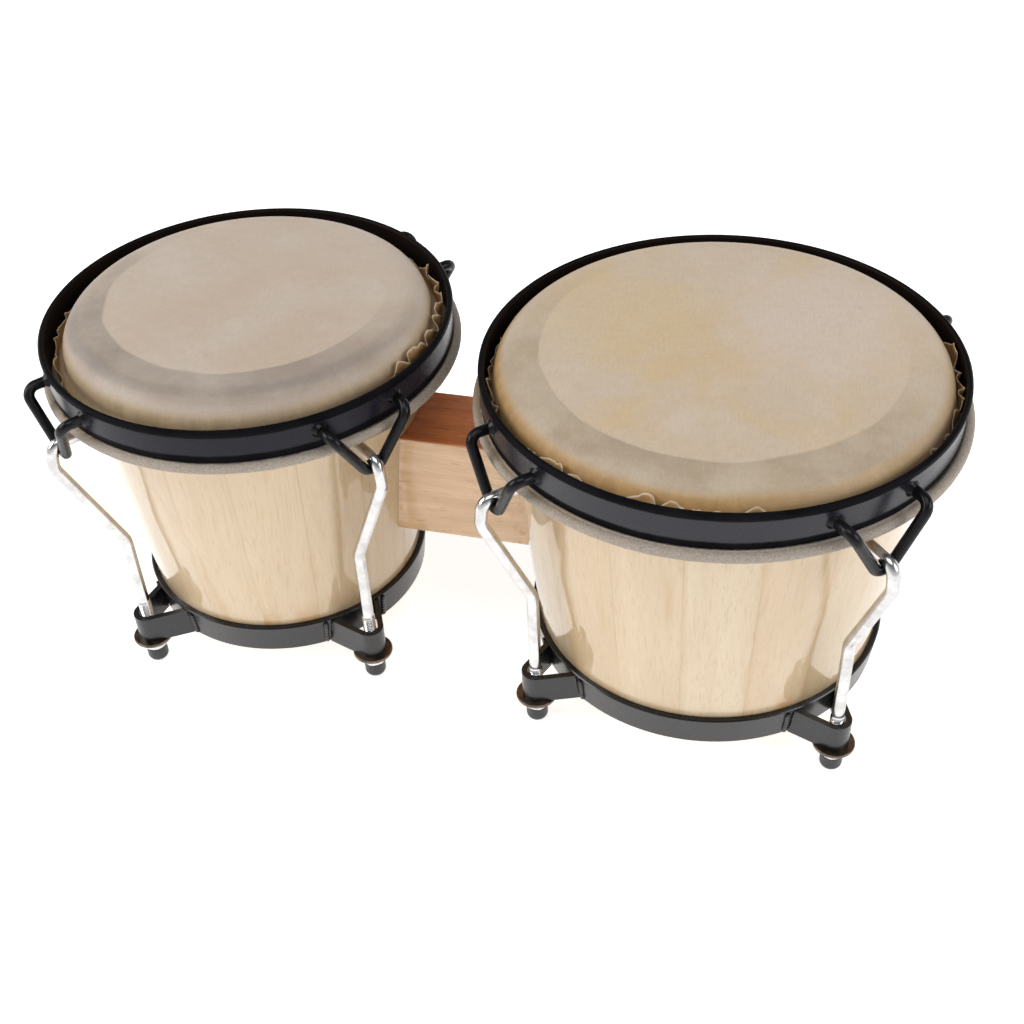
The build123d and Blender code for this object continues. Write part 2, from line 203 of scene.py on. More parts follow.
def wood_shell(p):
    d = DRUMS[p]
    m = Mat(f"{p}_shell_lacquered_staves")
    v, s, rad, az = m.polar(d["x"])
    step = TAU / d["staves"]
    t = m.math("ADD", m.math("DIVIDE", az, step), 0.5)
    idx = m.math("FLOORED_MODULO", m.math("FLOOR", t), float(d["staves"]))
    frac = m.math("FRACT", m.math("ADD", t, 64.0))
    seed = m.math("ADD", m.math("MULTIPLY", idx, 1.37), 3.1 if p == "large" else 11.7)
    w = m.white(seed)
    wv, wc = w[0], w[1]
    wcs = m.xyz(wc)
    # distance to the nearer joint, mm
    edge = m.math("MULTIPLY", m.math("MINIMUM", frac, m.math("SUBTRACT", 1.0, frac)), m.math("MULTIPLY", rad, step * 1000))
    off = m.vmath("SCALE", wc, scale=9.0)
    base = m.vmath("ADD", v, off)
    # slow drift bends the grain a little off the vertical
    drift = m.noise(m.vmath("MULTIPLY", base, (1, 1, 0.35)), 14, 2, 0.5)
    driftv = m.vec(m.math("MULTIPLY", m.math("SUBTRACT", drift, 0.5), 0.02), m.math("MULTIPLY", m.math("SUBTRACT", drift, 0.5), -0.014), 0.0)
    g = m.vmath("ADD", base, driftv)
    broad = m.noise(m.vmath("MULTIPLY", g, (1, 1, 0.055)), 150, 3, 0.55)
    figure = m.noise(m.vmath("MULTIPLY", g, (1, 1, 0.16)), 60, 3, 0.6, 0.6)
    fine = m.noise(m.vmath("MULTIPLY", g, (1, 1, 0.022)), 1100, 3, 0.6)
    fleck = m.noise(m.vmath("MULTIPLY", g, (1, 1, 0.07)), 2100, 1, 0.4)
    pore = m.ramp(fleck, 0.66, 0.74)
    tone = m.mix(m.ramp(wv, 0.0, 1.0, smooth=False), (0.69, 0.535, 0.36), (0.82, 0.70, 0.56))
    tone = m.mix(m.math("MULTIPLY", m.ramp(wcs[1], 0.62, 0.92), 0.45), tone, (0.68, 0.48, 0.30))
    c = m.mix(m.ramp(figure, 0.35, 0.72, 0.0, 0.34), tone, (0.64, 0.46, 0.29))
    c = m.mix(m.ramp(broad, 0.45, 0.75, 0.0, 0.30), c, (0.64, 0.455, 0.28))
    c = m.mix(m.ramp(broad, 0.42, 0.25, 0.0, 0.22), c, (0.84, 0.74, 0.60))
    c = m.mix(m.ramp(fine, 0.48, 0.76, 0.0, 0.40), c, (0.54, 0.36, 0.21))
    c = m.mix(m.math("MULTIPLY", pore, 0.20), c, (0.42, 0.25, 0.13))
    # amber lacquer and glue stains low down beside the ring
    st = m.noise(m.vmath("MULTIPLY", base, (1, 1, 0.5)), 38, 3, 0.6)
    low = m.ramp(s[2], 0.047, 0.030)
    stain = m.math("MULTIPLY", m.ramp(st, 0.53, 0.68), low)
    c = m.mix(m.math("MULTIPLY", stain, 0.6), c, (0.56, 0.31, 0.10))
    # small tight knots
    kd = m.voronoi(m.vmath("MULTIPLY", m.vmath("ADD", v, (3.3, 1.1, 0.4)), (1, 1, 0.62)), 19)
    knot = m.ramp(kd, 0.034, 0.012)
    halo = m.ramp(kd, 0.12, 0.02)
    c = m.mix(m.math("MULTIPLY", halo, 0.30), c, (0.58, 0.35, 0.15))
    c = m.mix(m.math("MULTIPLY", knot, 0.8), c, (0.16, 0.075, 0.03))
    # glue joints between the staves, some darker than others
    jw = m.white(m.math("ADD", m.math("FLOORED_MODULO", m.math("ROUND", m.math("DIVIDE", az, step / 1.0)), float(d["staves"])), 5.5))
    jn = m.noise(m.vmath("MULTIPLY", base, (1, 1, 0.12)), 120, 2, 0.5)
    joint = m.ramp(edge, 0.30, 0.06)
    shade = m.ramp(edge, 1.8, 0.2)
    c = m.mix(m.math("MULTIPLY", shade, m.math("MULTIPLY", wcs[2], 0.10)), c, (0.55, 0.33, 0.14))
    c = m.mix(m.math("MULTIPLY", joint, m.math("MULTIPLY", m.math("MULTIPLY", m.ramp(jn, 0.35, 0.65, 0.15, 1.0), m.ramp(wcs[0], 0.1, 0.9, 0.25, 0.8)), 0.55)), c, (0.30, 0.165, 0.07))
    # inside of the shell is bare wood, a little greyer
    inner = m.ramp(m.math("SUBTRACT", rad, m.math("ADD", m.math("MULTIPLY", s[2], d["k"]), (d["r"] - d["k"] * Z_REF) / 1000)), -0.008, -0.004, 1.0, 0.0)
    c = m.mix(m.math("MULTIPLY", inner, 0.35), c, (0.62, 0.46, 0.28))
    # amber glue run out of some joints
    glue = m.math("MULTIPLY", m.ramp(m.math("ADD", edge, m.math("MULTIPLY", jn, 2.4)), 4.3, 1.7), m.ramp(wcs[2], 0.55, 0.75))
    c = m.mix(m.math("MULTIPLY", glue, 0.19), c, (0.54, 0.33, 0.13))
    streak = m.noise(m.vmath("MULTIPLY", m.vmath("ADD", g, (0.7, 0.2, 0.9)), (1, 1, 0.03)), 95, 2, 0.5)
    c = m.mix(m.ramp(streak, 0.60, 0.74, 0.0, 0.50), c, (0.58, 0.385, 0.17))
    c = m.tint(c, (0.785, 0.755, 0.655))
    h = m.math("ADD", m.math("MULTIPLY", fine, 0.6), m.math("MULTIPLY", broad, 0.4))
    h = m.math("SUBTRACT", h, m.math("MULTIPLY", joint, 0.9))
    m.set(Base_Color=c, Roughness=m.ramp(fine, 0.2, 0.8, 0.42, 0.52), Specular_IOR_Level=0.25, Coat_Weight=m.math("SUBTRACT", 1.0, m.math("MULTIPLY", inner, 0.9)), Coat_Roughness=0.04, Coat_IOR=1.6)
    m.put(m.b.inputs["Normal"], m.bump(h, 0.10, 0.00025))
    wav = m.noise(m.vmath("MULTIPLY", v, (1, 1, 0.35)), 70, 2, 0.4)
    m.put(m.b.inputs["Coat Normal"], m.bump(m.math("SUBTRACT", m.math("MULTIPLY", wav, 1.2), m.math("MULTIPLY", joint, 0.30)), 0.12, 0.0006))
    return m.m


def wood_block():
    m = Mat("block_lacquered_beech")
    s = m.xyz(m.obj)
    v = m.vmath("ADD", m.obj, (2.17, 5.3, 1.9))
    ns = m.nt.nodes.new("ShaderNodeNewGeometry")
    nz = m.xyz(ns.outputs["Normal"])[2]
    # beech: close fine grain along X, dark medullary flecks on the side faces
    drift = m.noise(m.vmath("MULTIPLY", v, (0.4, 1, 1)), 22, 2, 0.5)
    g = m.vmath("ADD", v, m.vec(0.0, m.math("MULTIPLY", m.math("SUBTRACT", drift, 0.5), 0.01), m.math("MULTIPLY", m.math("SUBTRACT", drift, 0.5), 0.012)))
    broad = m.noise(m.vmath("MULTIPLY", g, (0.07, 1, 1)), 190, 3, 0.55)
    fine = m.noise(m.vmath("MULTIPLY", g, (0.03, 1, 1)), 1300, 2, 0.6)
    flk = m.noise(m.vmath("MULTIPLY", g, (0.10, 1, 1.1)), 1500, 1, 0.4)
    fleck = m.ramp(flk, 0.63, 0.70)
    c = m.mix(m.ramp(broad, 0.3, 0.7), (0.72, 0.485, 0.28), (0.60, 0.375, 0.195))
    c = m.mix(m.ramp(fine, 0.45, 0.75, 0.0, 0.45), c, (0.48, 0.275, 0.13))
    c = m.mix(m.math("MULTIPLY", fleck, 0.42), c, (0.33, 0.17, 0.075))
    # painted shade: faces turned up get a darker, redder colour than the sides
    top = m.ramp(nz, 0.35, 0.75)
    top_shade_colour = m.mix(m.ramp(broad, 0.3, 0.7), (0.72, 0.225, 0.058), (0.54, 0.15, 0.034))
    top_shade_colour = m.mix(m.ramp(fine, 0.45, 0.75, 0.0, 0.6), top_shade_colour, (0.30, 0.070, 0.015))
    top_shade_colour = m.mix(m.math("MULTIPLY", fleck, 0.45), top_shade_colour, (0.12, 0.034, 0.010))
    c = m.mix(top, c, top_shade_colour)
    # glue squeezed out where the block meets each shell
    gl = m.noise(m.obj, 210, 3, 0.6)
    ends = m.ramp(m.math("ABSOLUTE", m.math("SUBTRACT", s[0], -0.0111)), 0.0195, 0.0285)
    glue = m.math("MULTIPLY", m.ramp(gl, 0.50, 0.66), ends)
    c = m.mix(m.math("MULTIPLY", glue, 0.75), c, (0.52, 0.25, 0.07))
    h = m.math("SUBTRACT", m.math("MULTIPLY", fine, 0.7), m.math("MULTIPLY", fleck, 0.6))
    m.set(Base_Color=c, Roughness=m.ramp(fine, 0.2, 0.8, 0.40, 0.52), Coat_Weight=0.85, Coat_Roughness=0.07)
    m.put(m.b.inputs["Normal"], m.bump(h, 0.14, 0.00025))
    return m.m


def hide_mat(p):
    d = DRUMS[p]
    m = Mat(f"{p}_rawhide")
    v, s, rad, az = m.polar(d["x"])
    rt = (shell_r(d, Z_TOP) + 0.1) / 1000
    inner = rt - (0.0175 if p == "large" else 0.0170)
    vo = m.vmath("ADD", v, (1.7, 0.6, 2.2) if p == "small" else (6.4, 3.1, 0.9))
    blot = m.noise(vo, 17, 3, 0.55, 0.8)
    blot2 = m.noise(vo, 42, 4, 0.6)
    mott = m.noise(vo, 260, 4, 0.65)
    fibre = m.noise(m.vmath("MULTIPLY", vo, (1.0, 0.13, 1.0)), 1500, 2, 0.55)
    fibre2 = m.noise(m.vmath("MULTIPLY", vo, (0.13, 1.0, 1.0)), 1300, 2, 0.55)
    # the band colours paint the shade ring over the shell's edge; the skirt colour is the hide's own
    if p == "small":
        main, warm, pale = (0.555, 0.463, 0.395), (0.545, 0.435, 0.355), (0.60, 0.525, 0.465)
        shade_band_dark, shade_band_light = (0.285, 0.233, 0.200), (0.385, 0.328, 0.285)
        skirt_c = (0.47, 0.345, 0.21)
    else:
        main, warm, pale = (0.60, 0.490, 0.390), (0.62, 0.465, 0.295), (0.64, 0.545, 0.465)
        shade_band_dark, shade_band_light = (0.385, 0.30, 0.212), (0.49, 0.405, 0.315)
        skirt_c = (0.40, 0.235, 0.085)
    c = m.mix(m.ramp(blot, 0.38, 0.66), main, warm)
    c = m.mix(m.ramp(blot2, 0.48, 0.72, 0.0, 0.55), c, pale)
    # a golden area to the left of the middle and a paler one to the right
    if p == "large":
        flat = m.vmath("MULTIPLY", v, (1, 1, 0))
        wob = m.math("MULTIPLY", m.math("SUBTRACT", m.noise(vo, 26, 3, 0.6), 0.5), 0.045)
        gold = m.ramp(m.math("ADD", m.vmath("DISTANCE", flat, (-0.040, 0.016, 0.0)), wob), 0.052, 0.018)
        rosy = m.ramp(m.math("ADD", m.vmath("DISTANCE", flat, (0.034, 0.026, 0.0)), wob), 0.056, 0.020)
        c = m.mix(m.math("MULTIPLY", gold, 0.55), c, (0.63, 0.485, 0.295))
        c = m.mix(m.math("MULTIPLY", rosy, 0.60), c, (0.655, 0.555, 0.495))
    # ring over the shell's edge: painted shade, darker and greyer where the crown rounds down, on the player's side
    # most
    warp = m.math("MULTIPLY", m.math("SUBTRACT", m.noise(vo, 22, 2, 0.5), 0.5), 0.006)
    # the painted shade is wider towards the player
    front_shade_widening = m.math("MULTIPLY", m.math("COSINE", m.math("SUBTRACT", az, 4.97)), 0.0050 if p == "small" else 0.0016)
    rw = m.math("ADD", m.math("ADD", rad, warp), front_shade_widening)
    side = m.ramp(m.math("SINE", m.math("ADD", az, 0.25)), 0.75, -0.75, 0.03, 1.0)
    side = m.math("MULTIPLY", side, m.ramp(m.noise(vo, 11, 2, 0.5), 0.25, 0.65, 0.55, 1.0))
    band = m.math("MULTIPLY", m.ramp(rw, inner - 0.0004, inner + 0.0010), m.ramp(rad, rt + 0.0008, rt - 0.0045))
    shade_band_colour = m.mix(m.ramp(blot2, 0.35, 0.7), shade_band_dark, shade_band_light)
    c = m.mix(m.math("MULTIPLY", band, m.math("MULTIPLY", side, 0.92)), c, shade_band_colour)
    # a second, bluish line of painted shade where the crown turns down
    crown_bend_shade = m.math("MULTIPLY", m.ramp(rw, rt - 0.0085, rt - 0.0045), m.ramp(rw, rt + 0.0004, rt - 0.0020))
    crown_bend_shade = m.math("MULTIPLY", crown_bend_shade, m.math("MULTIPLY", side, m.ramp(blot, 0.36, 0.60, 0.35, 1.0)))
    c = m.mix(m.math("MULTIPLY", crown_bend_shade, 0.50 if p == "small" else 0.16), c, (0.225, 0.20, 0.195))
    # skirt below the crown: bare yellow hide
    skirt = m.math("MULTIPLY", m.ramp(m.math("ADD", s[2], m.math("MULTIPLY", warp, 0.30)), 0.1628 if p == "large" else 0.1604, 0.1590 if p == "large" else 0.1560), m.ramp(rad, inner, rt - 0.002))
    streak = m.noise(m.vec(m.math("MULTIPLY", az, 6.0), m.math("MULTIPLY", s[2], 30.0), 0.5), 3.0, 3, 0.6)
    sk = m.mix(m.ramp(streak, 0.35, 0.7), skirt_c, tuple(min(1, 1.25 * x) for x in skirt_c))
    # the skirt colour is laid on more strongly towards the front left, the lit side: painted light
    lit = m.ramp(m.math("COSINE", m.math("SUBTRACT", az, 4.10)), 0.15, 0.85, 0.55 if p == "large" else 0.8, 0.95)
    c = m.mix(m.math("MULTIPLY", skirt, lit), c, sk)
    # the roll round the flesh hoop is the rough grey flesh side
    fz = m.noise(vo, 1500, 4, 0.7)
    fz2 = m.noise(vo, 190, 3, 0.6)
    roll = m.math("MULTIPLY", m.ramp(s[2], 0.1456, 0.1446), m.ramp(rad, (d["rim"] + d["roll"] - ROLL_R - 0.2) / 1000, (d["rim"] + d["roll"] - ROLL_R + 1.2) / 1000))
    rc = m.mix(m.ramp(fz, 0.32, 0.70), (0.27, 0.225, 0.195), (0.43, 0.38, 0.335))
    rc = m.mix(m.ramp(fz2, 0.45, 0.75, 0.0, 0.45), rc, (0.36, 0.295, 0.235))
    # the roll's upper outer side still carries the amber grain side
    amb = m.ramp(s[2], 0.1424, 0.1438)
    amb = m.math("MULTIPLY", amb, m.ramp(m.math("COSINE", m.math("SUBTRACT", az, 3.55)), 0.55, 0.95))
    rc = m.mix(m.math("MULTIPLY", amb, m.ramp(fz2, 0.30, 0.55, 0.25, 0.9)), rc, (0.36, 0.23, 0.10))
    c = m.mix(roll, c, rc)
    # fibres, mottle, follicles and a few dark specks
    fibs = m.mix(m.ramp(fibre, 0.25, 0.75), (0.90, 0.895, 0.89), (1.08, 1.08, 1.08))
    c = m.mix(0.55, c, m.mix(1.0, c, fibs, "MULTIPLY"))
    fibs2 = m.mix(m.ramp(fibre2, 0.25, 0.75), (0.90, 0.895, 0.89), (1.07, 1.07, 1.07))
    c = m.mix(0.30, c, m.mix(1.0, c, fibs2, "MULTIPLY"))
    c = m.mix(m.ramp(mott, 0.50, 0.75, 0.0, 0.16), c, (0.40, 0.32, 0.25))
    sp = m.nt.nodes.new("ShaderNodeTexVoronoi")
    m.put(sp.inputs["Vector"], vo)
    sp.inputs["Scale"].default_value = 42
    on = m.ramp(m.xyz(sp.outputs["Color"])[0], 0.80, 0.84)
    c = m.mix(m.math("MULTIPLY", m.math("MULTIPLY", m.ramp(sp.outputs["Distance"], 0.030, 0.012), on), 0.75), c, (0.10, 0.055, 0.03))
    fol = m.voronoi(vo, 620)
    c = m.mix(m.math("MULTIPLY", m.ramp(fol, 0.14, 0.04), m.ramp(blot2, 0.5, 0.7, 0.0, 0.35)), c, (0.33, 0.25, 0.18))
    rough = m.math("ADD", m.ramp(fibre, 0.2, 0.8, 0.46, 0.60), m.math("MULTIPLY", roll, 0.28))
    c = m.tint(c, (0.93, 0.925, 0.885))
    m.set(Base_Color=c, Roughness=rough, Specular_IOR_Level=0.42)
    m.b.inputs["Sheen Weight"].default_value = 0.06
    m.b.inputs["Sheen Roughness"].default_value = 0.5
    h = m.math("ADD", m.math("MULTIPLY", fibre, 0.30), m.math("MULTIPLY", mott, 0.40))
    h = m.math("ADD", h, m.math("MULTIPLY", m.math("MULTIPLY", fz, roll), 0.7))
    m.put(m.b.inputs["Normal"], m.bump(h, 0.34, 0.00028))
    return m.m


def flap_mat(p):
    d = DRUMS[p]
    m = Mat(f"{p}_cut_hide_edge")
    v, s, rad, az = m.polar(d["x"])
    n = m.noise(v, 160, 3, 0.6)
    f = m.noise(m.vmath("MULTIPLY", v, (1, 1, 0.2)), 900, 2, 0.6)
    c = m.mix(m.ramp(n, 0.3, 0.7), (0.29, 0.155, 0.052), (0.38, 0.235, 0.095))
    at = m.nt.nodes.new("ShaderNodeAttribute")
    at.attribute_name = "edge"
    rim_c = m.mix(m.ramp(n, 0.3, 0.7), (0.62, 0.53, 0.40), (0.50, 0.38, 0.25))
    c = m.mix(m.ramp(at.outputs["Fac"], 0.93, 1.0), c, rim_c)
    m.set(Base_Color=c, Roughness=m.ramp(f, 0.2, 0.8, 0.42, 0.60))
    m.b.inputs["Transmission Weight"].default_value = 0.0
    m.put(m.b.inputs["Normal"], m.bump(m.math("ADD", m.math("MULTIPLY", n, 0.5), f), 0.25, 0.0002))
    return m.m


def black_coat(name="black_powder_coat", d=None, gloss=0.26):
    m = Mat(name)
    o = m.noise(m.obj, 1500, 2, 0.5)
    w = m.noise(m.obj, 60, 3, 0.55)
    dust = m.noise(m.obj, 2600, 1, 0.4)
    c = m.mix(m.ramp(w, 0.35, 0.7), (0.0035, 0.0032, 0.0042), (0.0065, 0.006, 0.0072))
    c = m.mix(m.math("MULTIPLY", m.ramp(dust, 0.76, 0.82), 0.22), c, (0.09, 0.08, 0.07))
    r = m.math("ADD", m.ramp(w, 0.3, 0.7, 0.20, 0.275), m.ramp(o, 0.3, 0.7, 0.0, 0.03))
    spec = gloss
    if d:
        # thicker gloss on the band, flat black on the bead, the lower lip and the wall behind the hide
        v, s, rad, az = m.polar(d["x"])
        zz = m.math("ADD", s[2], m.math("MULTIPLY", m.math("SUBTRACT", w, 0.5), 0.0012))
        low = m.ramp(zz, 0.1464, 0.1476)
        high = m.ramp(zz, (d["rz1"] - 2.6) / 1000, (d["rz1"] - 3.8) / 1000)
        outer = m.ramp(rad, (d["rim"] - RIM_T + 0.5) / 1000, (d["rim"] - RIM_T + 1.0) / 1000)
        k = m.math("MULTIPLY", m.math("MULTIPLY", low, high), outer)
        spec = m.ramp(k, 0.0, 1.0, 0.02, 0.36 if d["rim"] > 90 else 0.17, smooth=False)
        r = m.math("ADD", r, m.ramp(k, 0.0, 1.0, 0.14, 0.0, smooth=False))
        c = m.mix(m.math("MULTIPLY", k, 0.8), c, (0.013, 0.012, 0.020))
        c = m.mix(m.ramp(outer, 1.0, 0.0, 0.0, 0.6), c, (0.014, 0.009, 0.006))
    m.set(Base_Color=c, Roughness=r, Specular_IOR_Level=spec)
    m.put(m.b.inputs["Normal"], m.bump(m.math("ADD", m.math("MULTIPLY", o, 0.4), m.math("MULTIPLY", w, 1.0)), 0.10, 0.0003))
    return m.m


def chrome_mat():
    m = Mat("chromed_steel")
    w = m.noise(m.obj, 130, 3, 0.55)
    f = m.noise(m.vmath("MULTIPLY", m.obj, (1, 1, 0.12)), 2200, 2, 0.5)
    pit = m.noise(m.obj, 900, 3, 0.6)
    c = m.mix(m.ramp(w, 0.35, 0.7), (0.66, 0.655, 0.655), (0.52, 0.515, 0.51))
    c = m.mix(m.math("MULTIPLY", m.ramp(pit, 0.60, 0.72), 0.45), c, (0.30, 0.27, 0.24))
    r = m.math("ADD", m.ramp(w, 0.3, 0.7, 0.12, 0.22), m.math("MULTIPLY", f, 0.05))
    m.set(Base_Color=c, Metallic=1.0, Roughness=r)
    m.put(m.b.inputs["Normal"], m.bump(m.math("ADD", m.math("MULTIPLY", w, 1.0), m.math("MULTIPLY", f, 0.10)), 0.05, 0.0004))
    return m.m


def metal_mat(name, a, b, r0, r1, scale=240):
    m = Mat(name)
    w = m.noise(m.obj, scale, 4, 0.6)
    f = m.noise(m.obj, scale * 7, 2, 0.5)
    c = m.mix(m.ramp(w, 0.3, 0.7), a, b)
    m.set(Base_Color=c, Metallic=1.0, Roughness=m.math("ADD", m.ramp(w, 0.3, 0.7, r0, r1), m.ramp(f, 0.3, 0.7, 0.0, 0.05)))
    m.put(m.b.inputs["Normal"], m.bump(f, 0.06, 0.0002))
    return m.m


def rubber_mat():
    m = Mat("black_rubber")
    w = m.noise(m.obj, 300, 3, 0.6)
    f = m.noise(m.obj, 2500, 2, 0.5)
    c = m.mix(m.ramp(w, 0.35, 0.7), (0.010, 0.0095, 0.0105), (0.020, 0.019, 0.019))
    c = m.mix(m.math("MULTIPLY", m.ramp(f, 0.66, 0.75), 0.25), c, (0.12, 0.11, 0.10))
    m.set(Base_Color=c, Roughness=m.ramp(w, 0.3, 0.7, 0.34, 0.50))
    m.put(m.b.inputs["Normal"], m.bump(m.math("ADD", w, m.math("MULTIPLY", f, 0.3)), 0.10, 0.0002))
    return m.m


M_SHELL = {p: wood_shell(p) for p in DRUMS}
M_HIDE = {p: hide_mat(p) for p in DRUMS}
M_FLAP = {p: flap_mat(p) for p in DRUMS}
M_BLOCK = wood_block()
M_BLACK = black_coat(gloss=0.20)
M_RING = black_coat("ring_powder_coat", None, 0.56)
M_RIM = {p: black_coat(f"{p}_rim_powder_coat", DRUMS[p]) for p in DRUMS}
M_CHROME = chrome_mat()
M_NUT = metal_mat("bright_zinc_nut", (0.74, 0.74, 0.75), (0.58, 0.58, 0.60), 0.16, 0.30)
M_PLATE = metal_mat("dark_bronzed_washer", (0.105, 0.078, 0.058), (0.19, 0.15, 0.12), 0.26, 0.42)
M_STEEL = metal_mat("zinc_plated_steel", (0.60, 0.60, 0.61), (0.42, 0.42, 0.43), 0.28, 0.42)
M_RUBBER = rubber_mat()

for name, o in NODES.items():
    p = name.split("_")[0]
    if "shell_staves" in name:
        mat = M_SHELL[p]
    elif name == "centre_block":
        mat = M_BLOCK
    elif name.endswith(("_head", "hide_hem")):
        mat = M_HIDE[p]
    elif name.endswith("_rim"):
        mat = M_RIM[p]
    elif name.endswith(("bottom_ring", "_lugs")):
        mat = M_RING
    elif name.endswith("rim_loops"):
        mat = M_BLACK
    elif "_rod_" in name:
        mat = M_CHROME
    elif "_nut_" in name:
        mat = M_NUT
    elif name in ("small_washers", "large_washers"):
        mat = M_PLATE
    elif "foot_caps" in name:
        mat = M_RUBBER
    else:
        mat = M_STEEL
    for sl in o.material_slots:
        sl.material = mat


# ------------------------------------------------------------------ mesh code
def make(name, verts, faces, mat, smooth=True):
    me = bpy.data.meshes.new(name)
    me.from_pydata([tuple(v) for v in (np.asarray(verts, float) / 1000)], [], faces)
    me.materials.append(mat)
    me.validate()
    if smooth:
        me.polygons.foreach_set("use_smooth", [True] * len(me.polygons))
    me.update()
    o = bpy.data.objects.new(name, me)
    bpy.context.scene.collection.objects.link(o)
    return o


def grid_faces(nu, nv, wrap_u, wrap_v, base=0):
    """Quads of a grid of nu columns by nv rows, index = u * nv + v."""
    f = []
    for u in range(nu if wrap_u else nu - 1):
        u2 = (u + 1) % nu
        for v in range(nv if wrap_v else nv - 1):
            v2 = (v + 1) % nv
            f.append((base + u * nv + v, base + u2 * nv + v, base + u2 * nv + v2, base + u * nv + v2))
    return f


def crown_out(d, z):
    """Outer radius of the hide's crown and side at height z."""
    rt = shell_r(d, Z_TOP) + 0.1
    c_r, c_z, o = rt - EDGE_R - 0.1, Z_TOP + 0.05 - EDGE_R - 0.1, EDGE_R + 0.1 + HIDE_T
    if z <= c_z:
        return rt + HIDE_T
    return c_r + math.sqrt(max(0.0, o * o - (z - c_z) ** 2))


def build_hide(p, nu=576):
    """One skin: membrane, rounded crown, skirt, and the roll round the flesh hoop, as a closed thick shape."""
    d = DRUMS[p]
    rt = shell_r(d, Z_TOP) + 0.1
    er = EDGE_R + 0.1
    c_r, c_z = rt - er, Z_TOP + 0.05 - er
    rc, zc = d["rim"] + d["roll"], ROLL_Z
    band, ri = d["rim"] - BEAD_OUT, d["rim"] - RIM_T
    prof, kind = [], []          # kind: 0 membrane, 1 crown and skirt, 2 roll

    def add(r, z, k):
        prof.append((r, z))
        kind.append(k)

    # under side, from the middle out
    for r in (6, 18, 34, 52, c_r - 4, c_r):
        add(r, Z_TOP + 0.05, 0)
    for i in range(1, 7):
        a = math.radians(90 - 15 * i)
        add(c_r + er * math.cos(a), c_z + er * math.sin(a), 0)
    add(rt, LIP_Z + 0.5, 0)
    add(rt + 0.25, LIP_Z - 1.2, 0)
    r_in = rc - ROLL_R + 0.4
    for t in (0.25, 0.5, 0.75):
        add(rt + 0.3 + (r_in - rt - 0.3) * t, LIP_Z - 1.2 + (zc + 2 - LIP_Z + 1.2) * t, 0)
    n = 26
    a1 = math.degrees(math.acos((band + 0.16 - rc) / ROLL_R)) + 360
    for i in range(n + 1):
        a = math.radians(170 + (a1 - 170) * i / n)
        add(rc + ROLL_R * math.cos(a), zc + ROLL_R * math.sin(a), 2)
    # pressed flat under the rim, then up the inner side
    add(band + 0.14, RIM_Z0 - 0.08, 4)
    add((band + ri) / 2, RIM_Z0 - 0.12, 4)
    add(ri - 0.10, RIM_Z0 - 0.08, 4)
    add(ri - 0.30, RIM_Z0 + 0.45, 4)
    # skirt, crown and membrane, outer side
    top = (rt + HIDE_T, LIP_Z + 1)
    start = prof[-1]
    for t in (0.33, 0.62, 0.85):
        add(start[0] + (top[0] + 0.25 - start[0]) * t, start[1] + 0.4 + (top[1] - start[1] - 0.4) * t, 1)
    add(top[0], top[1], 1)
    o = er + HIDE_T
    for i in range(0, 11):
        a = math.radians(9 * i)
        add(c_r + o * math.cos(a), c_z + o * math.sin(a), 1 if i < 9 else 0)
    for r in (c_r - 2.5, c_r - 6, c_r - 12, 46, 34, 22, 11, 5):
        add(r, Z_TOP + 0.05 + HIDE_T, 3)
    prof = np.array(prof)
    kind = np.array(kind)
    nv = len(prof)
    az = np.arange(nu) * TAU / nu
    R = np.repeat(prof[None, :, 0], nu, 0)
    Z = np.repeat(prof[None, :, 1], nu, 0)
    seed = 3.7 if p == "small" else 9.1
    slow = ring_noise(az, 2.2, seed, 2)
    pleat = ring_noise(az, 13.0, seed + 4, 3)
    for j in range(nv):
        if kind[j] == 2:
            # the hide is pulled thinner round the hoop on the player's side
            thin = 1.30 * np.clip(0.55 - 0.75 * np.sin(az + 0.10), 0.0, 1.0)
            nr, nz = (prof[j, 0] - rc) / ROLL_R, (prof[j, 1] - zc) / ROLL_R
            a = math.atan2(nz, nr)
            rough = np.array([n3(34 * math.cos(t), 34 * math.sin(t), a * 1.6 + seed) + 0.7 * n3(105 * math.cos(t), 105 * math.sin(t), a * 4.5 + seed) for t in az])
            # keep clear under the rim
            lim = 0.12
            dd = lim * rough + (0.14 * slow if nz < 0.5 else 0)
            dd = np.maximum(dd, -0.04) - thin
            R[:, j] += dd * (max(nr, 0.0) if nz > 0.4 else nr)
            Z[:, j] += dd * nz
        elif kind[j] == 1 and prof[j, 1] < c_z + 9:
            fade = 1.0 if prof[j, 1] < c_z else max(0.0, 1 - (prof[j, 1] - c_z) / 9)
            R[:, j] += (0.16 * pleat + 0.10) * fade
        elif kind[j] == 3:
            und = np.array([n3(prof[j, 0] / 26 * math.cos(t), prof[j, 0] / 26 * math.sin(t), seed) for t in az])
            Z[:, j] += 0.14 * und * min(1.0, (c_r - prof[j, 0]) / 12 + 0.2)
    X = d["x"] + R * np.cos(az)[:, None]
    Y = R * np.sin(az)[:, None]
    verts = np.stack([X, Y, Z], -1).reshape(-1, 3).tolist()
    faces = grid_faces(nu, nv, True, False)
    lo, hi = len(verts), len(verts) + 1
    verts.append((d["x"], 0, Z_TOP + 0.05))
    verts.append((d["x"], 0, Z_TOP + 0.05 + HIDE_T))
    for u in range(nu):
        u2 = (u + 1) % nu
        faces.append((lo, u2 * nv, u * nv))
        faces.append((hi, u * nv + nv - 1, u2 * nv + nv - 1))
    ob = make(f"{p}_drumhead_hide", verts, faces, M_HIDE[p])
    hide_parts(f"{p}_head", f"{p}_hide_hem")
    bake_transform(ob)
    return ob


def arc_mask(az_deg, a0, a1, soft):
    """1 inside a0..a1 (degrees, a1 may pass 360), easing to 0 over soft degrees."""
    mid, half = (a0 + a1) / 2, (a1 - a0) / 2
    x = np.abs((az_deg - mid + 180) % 360 - 180)
    t = np.clip((half + soft - x) / soft, 0, 1)
    return t * t * (3 - 2 * t)


